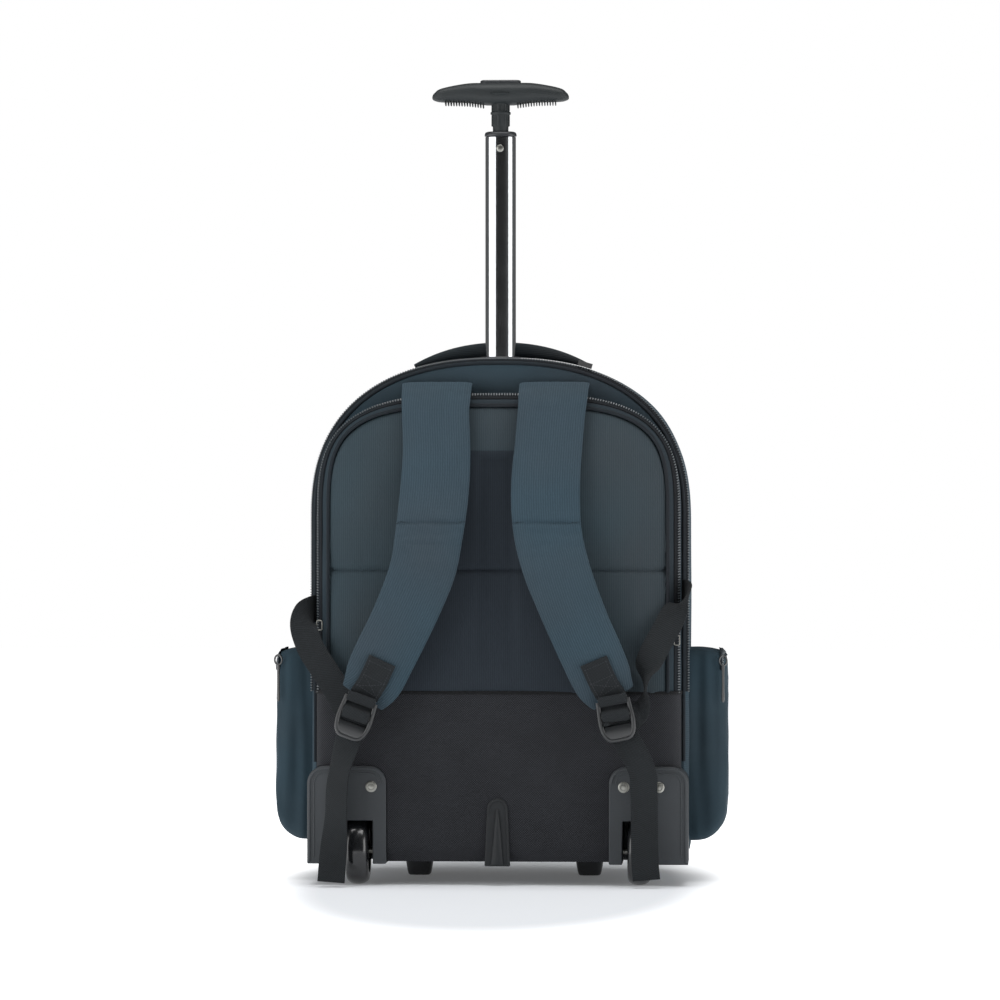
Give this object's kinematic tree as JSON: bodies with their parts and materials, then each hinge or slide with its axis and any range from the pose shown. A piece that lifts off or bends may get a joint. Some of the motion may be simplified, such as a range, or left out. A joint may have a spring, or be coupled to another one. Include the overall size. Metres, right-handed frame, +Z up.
{
  "type": "wheeled backpack",
  "caption": "Soft backpack with padded shoulder straps, side pockets, recessed rear wheels and a telescopic T-shaped pull handle.",
  "frame": {"origin": "on the floor under the centre of the bounding box", "axes": "+Z up, -Y out of the back panel towards the wearer, +X to the right seen from behind the back panel"},
  "size_m": [0.4486, 0.246, 0.7864],
  "materials": {
    "teal_fabric": "woven, matte",
    "dark_fabric": "woven, matte",
    "ballistic_fabric": "coarse weave",
    "webbing": "ribbed webbing",
    "housing_plastic": "moulded, satin",
    "black_plastic": "moulded, satin",
    "tube": "polished",
    "tyre": "smooth, glossy",
    "nickel": "plated"
  },
  "bodies": {
    "bag": {"back_panel": "teal_fabric", "base_panel": "ballistic_fabric", "rear_gusset": "dark_fabric", "rear_piping": "dark_fabric", "laptop_zip": "webbing", "divider_panel": "teal_fabric", "main_piping": "dark_fabric", "main_gusset": "teal_fabric", "main_zip": "webbing", "front_panel": "teal_fabric", "side_pocket_left": "dark_fabric", "side_pocket_right": "dark_fabric", "pocket_puller_left": "nickel", "pocket_puller_right": "nickel", "wheel_housing_left": "housing_plastic", "wheel_housing_right": "housing_plastic", "axle_left": "nickel", "axle_right": "nickel", "housing_screw_left_inner": "nickel", "housing_screw_left_outer": "nickel", "housing_screw_right_inner": "nickel", "housing_screw_right_outer": "nickel", "shoulder_strap_left": "teal_fabric", "shoulder_strap_right": "teal_fabric", "strap_tab_left": "webbing", "strap_tab_right": "webbing", "ladder_lock_left": "black_plastic", "ladder_lock_right": "black_plastic", "lower_webbing_left": "webbing", "lower_webbing_right": "webbing", "free_end_left": "webbing", "free_end_right": "webbing", "pole_outer_tube": "tube", "pole_bezel": "black_plastic", "carry_handle": "webbing", "kick_plate": "housing_plastic", "front_foot_left": "black_plastic", "front_foot_right": "black_plastic", "laptop_puller_left": "nickel", "laptop_puller_right": "nickel", "main_puller": "nickel"},
    "pole": {"pole_inner_tube": "tube", "pole_collar": "black_plastic", "pole_pin": "nickel", "grip": "black_plastic"},
    "button": {"grip_button": "black_plastic"},
    "wheel_left": {"tyre_left": "tyre", "hub_left": "black_plastic"},
    "wheel_right": {"tyre_right": "tyre", "hub_right": "black_plastic"}
  },
  "joints": [
    {"name": "handle_slide", "type": "slide", "parent": "bag", "child": "pole", "axis": [0, 0, 1], "range_m": [-0.2, 0]},
    {"name": "button_press", "type": "slide", "parent": "pole", "child": "button", "axis": [0, 0, 1], "range_m": [-0.002, 0], "stiffness_N_per_m": 1500},
    {"name": "wheel_left_spin", "type": "hinge", "parent": "bag", "child": "wheel_left", "pos_m": [-0.137, -0.06441, 0.0325], "axis": [1, 0, 0], "continuous": true},
    {"name": "wheel_right_spin", "type": "hinge", "parent": "bag", "child": "wheel_right", "pos_m": [0.137, -0.06441, 0.0325], "axis": [1, 0, 0], "continuous": true}
  ]
}
